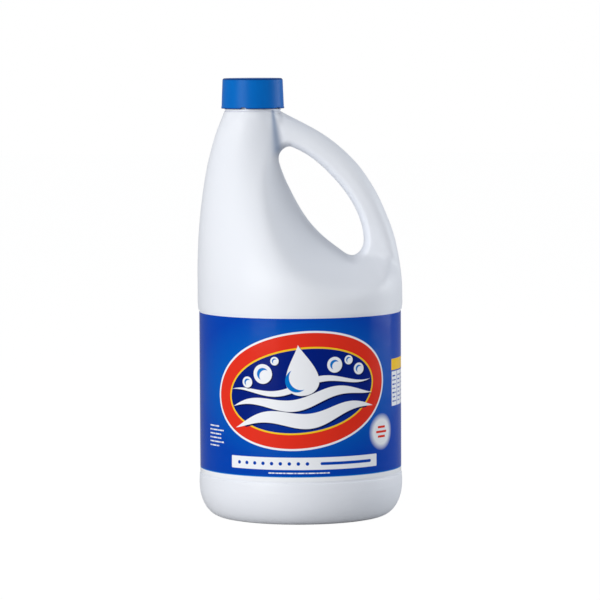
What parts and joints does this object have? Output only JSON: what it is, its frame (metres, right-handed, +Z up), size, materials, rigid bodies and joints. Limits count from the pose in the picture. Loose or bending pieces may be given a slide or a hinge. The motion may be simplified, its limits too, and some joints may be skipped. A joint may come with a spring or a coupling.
{
  "type": "bleach bottle",
  "caption": "Round blow-moulded bleach bottle with a hollow built-in handle, an offset neck, a blue screw cap and a wrap-round blue label.",
  "frame": {"origin": "under the body's axis, on the plane that the bottle stands on", "axes": "+Z up, +X towards the handle, -Y towards the front of the label; the neck is offset towards -X"},
  "size_m": [0.1268, 0.1266, 0.2708],
  "materials": {
    "bottle": "smooth satin white polyethylene, as blown",
    "cap": "smooth moulded blue plastic",
    "cap_liner": "white foamed sealing disc",
    "label": "glossy blue printed film"
  },
  "bodies": {
    "bottle": {"bottle": "bottle", "label": "label"},
    "liner": {"cap_liner": "cap_liner"},
    "cap": {"cap": "cap"}
  },
  "joints": [
    {"name": "cap_rise", "type": "slide", "parent": "bottle", "child": "liner", "axis": [0, 0, 1], "range_m": [0, 0.0169]},
    {"name": "cap_turn", "type": "hinge", "parent": "liner", "child": "cap", "pos_m": [-0.0286, 0, 0.2523], "axis": [0, 0, 1], "range_deg": [0, 1440]}
  ],
  "couplings": [
    {"joint": "cap_rise", "follows": "cap_turn", "m_per_rad": 0.00066845}
  ]
}
